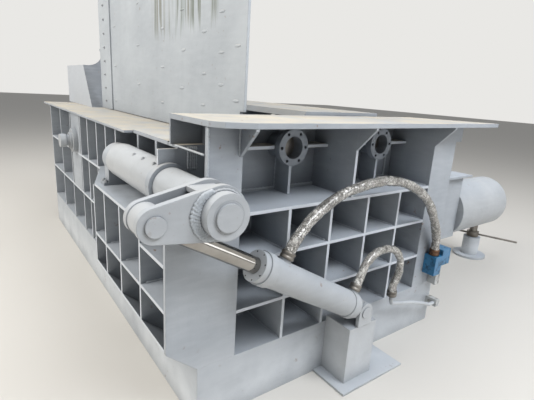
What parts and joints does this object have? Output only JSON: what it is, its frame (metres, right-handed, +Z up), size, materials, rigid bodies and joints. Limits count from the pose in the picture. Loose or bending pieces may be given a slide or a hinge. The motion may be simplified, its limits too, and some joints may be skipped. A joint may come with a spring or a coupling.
{
  "type": "recycling baler",
  "caption": "Horizontal scrap baler with a ribbed press body, a tipping feed panel on a side crank, end and side rams and a locking lid, in dusty blue-grey paint",
  "frame": {"origin": "centre of the base on the floor", "axes": "+X to the side cylinder, +Y to the end ram, +Z up"},
  "size_m": [3.784, 5.73, 2.4],
  "materials": {
    "grey_paint": "satin, dusty",
    "cylinder_paint": "satin, dusty",
    "chrome_rod": "polished",
    "bare_steel": "worn",
    "valve_paint": "gloss",
    "hose_film": "crinkled film",
    "pipe_paint": "satin"
  },
  "bodies": {
    "press_body": {"base_frame": "grey_paint", "chamber_floor": "grey_paint", "left_wall": "grey_paint", "left_shelves": "grey_paint", "left_ribs": "grey_paint", "step_ribs": "grey_paint", "post_plate": "grey_paint", "post_boss": "cylinder_paint", "left_deck": "grey_paint", "rear_bracket": "grey_paint", "left_column": "grey_paint", "right_column": "grey_paint", "front_wall": "grey_paint", "front_shelves": "grey_paint", "front_ribs": "grey_paint", "bay_sides": "grey_paint", "sleeve_webs": "grey_paint", "gussets": "grey_paint", "top_plate": "grey_paint", "cheek_plate": "grey_paint", "lock_sleeves": "cylinder_paint", "right_wall": "grey_paint", "right_ribs": "grey_paint", "right_deck": "grey_paint", "side_channel": "grey_paint", "side_barrel": "cylinder_paint", "rear_wall": "grey_paint", "main_barrel": "cylinder_paint", "bearing_bases": "grey_paint", "bearing_caps": "grey_paint", "pedestal": "cylinder_paint", "pivot_pin": "bare_steel", "valve_block": "valve_paint", "long_hose": "hose_film", "short_hose": "hose_film", "return_pipe": "pipe_paint", "jack_base": "grey_paint", "jack_screw": "bare_steel", "lid_brackets": "grey_paint", "lid_pin": "bare_steel"},
    "feed_panel": {"crank_shaft": "bare_steel", "crank_hub": "cylinder_paint", "crank_cheeks": "cylinder_paint", "crank_pins": "bare_steel", "torque_tube": "cylinder_paint", "feed_arms": "grey_paint", "feed_floor": "grey_paint", "feed_skins": "grey_paint", "feed_frame": "grey_paint"},
    "crank_cylinder": {"crank_barrel": "cylinder_paint"},
    "crank_piston": {"crank_rod": "chrome_rod"},
    "end_ram": {"main_ram": "grey_paint", "main_rod": "chrome_rod"},
    "cross_ram": {"side_ram": "grey_paint", "side_rod": "chrome_rod"},
    "lid": {"lid_panel": "grey_paint", "lid_ribs": "grey_paint", "lid_cover": "grey_paint"},
    "left_lock": {"lock_pin_left": "bare_steel"},
    "right_lock": {"lock_pin_right": "bare_steel"}
  },
  "joints": [
    {"name": "feed_tip", "type": "hinge", "parent": "press_body", "child": "feed_panel", "pos_m": [-0.905, -1.195, 1.072], "axis": [0, 1, 0], "range_deg": [-95, 0]},
    {"name": "cylinder_swing", "type": "hinge", "parent": "press_body", "child": "crank_cylinder", "pos_m": [-0.015, -1.82, 0.41], "axis": [0, 1, 0], "range_deg": [-4, 0], "deforming": ["long_hose", "short_hose"]},
    {"name": "rod_slide", "type": "slide", "parent": "crank_cylinder", "child": "crank_piston", "axis": [-0.8672, 0, 0.498], "range_m": [-0.352, 0]},
    {"name": "end_push", "type": "slide", "parent": "press_body", "child": "end_ram", "axis": [0, -1, 0], "range_m": [0, 1.9]},
    {"name": "cross_push", "type": "slide", "parent": "press_body", "child": "cross_ram", "axis": [-1, 0, 0], "range_m": [0, 0.56]},
    {"name": "lid_open", "type": "hinge", "parent": "press_body", "child": "lid", "pos_m": [0.625, -0.245, 1.305], "axis": [0, -1, 0], "range_deg": [-85, 0]},
    {"name": "left_lock_push", "type": "slide", "parent": "press_body", "child": "left_lock", "axis": [0, 1, 0], "range_m": [0, 0.1]},
    {"name": "right_lock_push", "type": "slide", "parent": "press_body", "child": "right_lock", "axis": [0, 1, 0], "range_m": [0, 0.1]}
  ],
  "couplings": [
    {"joint": "cylinder_swing", "follows": "feed_tip", "ratio": 0.038409},
    {"joint": "rod_slide", "follows": "feed_tip", "m_per_rad": 0.21117},
    {"joint": "right_lock_push", "follows": "left_lock_push", "ratio": 1}
  ]
}
